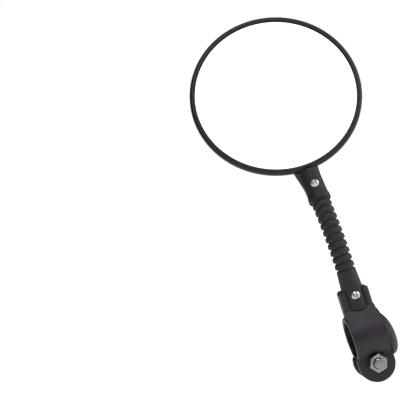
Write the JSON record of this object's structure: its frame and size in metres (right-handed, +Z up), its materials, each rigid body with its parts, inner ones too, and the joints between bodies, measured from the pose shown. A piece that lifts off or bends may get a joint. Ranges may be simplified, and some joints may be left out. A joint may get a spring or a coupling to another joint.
{
  "type": "bicycle mirror",
  "caption": "Round convex bicycle mirror on a bendable ball-and-socket arm, with a split clamp that closes round the end of a handlebar.",
  "frame": {"origin": "centre of the handlebar bore", "axes": "+X along the bore towards its closed domed end; +Z up the arm from the clamp; -Y is the side with the nut and screws, which the mirror faces"},
  "size_m": [0.108, 0.0702, 0.2354],
  "materials": {
    "clamp_plastic": "fine moulded grain, soft sheen",
    "arm_plastic": "satin moulded nylon",
    "shell_plastic": "fine moulded grain, soft sheen",
    "bezel_plastic": "semi-matt",
    "zinc_steel": "bright zinc plate",
    "mirror_face": "polished convex mirror",
    "foam_pad": "adhesive foam"
  },
  "bodies": {
    "clamp": {"clamp_body": "clamp_plastic", "clamp_bolt": "zinc_steel", "sleeve_screw": "zinc_steel", "arm_base_sleeve": "arm_plastic"},
    "nut": {"clamp_nut": "zinc_steel"},
    "segment_01": {"arm_segment_01": "arm_plastic"},
    "segment_02": {"arm_segment_02": "arm_plastic"},
    "segment_03": {"arm_segment_03": "arm_plastic"},
    "segment_04": {"arm_segment_04": "arm_plastic"},
    "segment_05": {"arm_segment_05": "arm_plastic"},
    "segment_06": {"arm_segment_06": "arm_plastic"},
    "segment_07": {"arm_segment_07": "arm_plastic"},
    "segment_08": {"arm_segment_08": "arm_plastic"},
    "segment_09": {"arm_segment_09": "arm_plastic"},
    "segment_10": {"arm_segment_10": "arm_plastic"},
    "head": {"arm_top_plug": "arm_plastic", "mirror_housing": "shell_plastic", "neck_screw": "zinc_steel", "bezel_ring": "bezel_plastic", "mirror_glass": "mirror_face", "glass_backing_pad": "foam_pad"}
  },
  "joints": [
    {"name": "nut_turn", "type": "hinge", "parent": "clamp", "child": "nut", "pos_m": [0, -0.009, -0.0165], "axis": [0, -1, 0], "continuous": true},
    {"name": "arm_swivel", "type": "hinge", "parent": "clamp", "child": "segment_01", "pos_m": [0, 0, 0.0444], "axis": [0, 0, 1], "continuous": true},
    {"name": "arm_bend_01", "type": "hinge", "parent": "segment_01", "child": "segment_02", "pos_m": [-0.00001, 0.00015, 0.04878], "axis": [0, 0.9994, -0.0349], "range_deg": [-11.5, 11.5]},
    {"name": "arm_bend_02", "type": "hinge", "parent": "segment_02", "child": "segment_03", "pos_m": [-0.00004, 0.00046, 0.05315], "axis": [0.0001, 0.9976, -0.0698], "range_deg": [-11.5, 11.5]},
    {"name": "arm_bend_03", "type": "hinge", "parent": "segment_03", "child": "segment_04", "pos_m": [-0.00008, 0.00092, 0.0575], "axis": [0.0003, 0.9945, -0.1045], "range_deg": [-11.5, 11.5]},
    {"name": "arm_bend_04", "type": "hinge", "parent": "segment_04", "child": "segment_05", "pos_m": [-0.00014, 0.00153, 0.06184], "axis": [0.0007, 0.9903, -0.1392], "range_deg": [-11.5, 11.5]},
    {"name": "arm_bend_05", "type": "hinge", "parent": "segment_05", "child": "segment_06", "pos_m": [-0.00021, 0.00229, 0.06615], "axis": [0.0011, 0.9848, -0.1736], "range_deg": [-11.5, 11.5]},
    {"name": "arm_bend_06", "type": "hinge", "parent": "segment_06", "child": "segment_07", "pos_m": [-0.00029, 0.0032, 0.07044], "axis": [0.0017, 0.9781, -0.2079], "range_deg": [-11.5, 11.5]},
    {"name": "arm_bend_07", "type": "hinge", "parent": "segment_07", "child": "segment_08", "pos_m": [-0.00039, 0.00426, 0.07469], "axis": [0.0023, 0.9703, -0.2419], "range_deg": [-11.5, 11.5]},
    {"name": "arm_bend_08", "type": "hinge", "parent": "segment_08", "child": "segment_09", "pos_m": [-0.0005, 0.00546, 0.07889], "axis": [0.0031, 0.9613, -0.2756], "range_deg": [-11.5, 11.5]},
    {"name": "arm_bend_09", "type": "hinge", "parent": "segment_09", "child": "segment_10", "pos_m": [-0.00062, 0.00682, 0.08306], "axis": [0.004, 0.9511, -0.309], "range_deg": [-11.5, 11.5]},
    {"name": "head_swivel", "type": "hinge", "parent": "segment_10", "child": "head", "pos_m": [-0.00076, 0.00831, 0.08717], "axis": [-0.0342, 0.3745, 0.9266], "continuous": true}
  ]
}
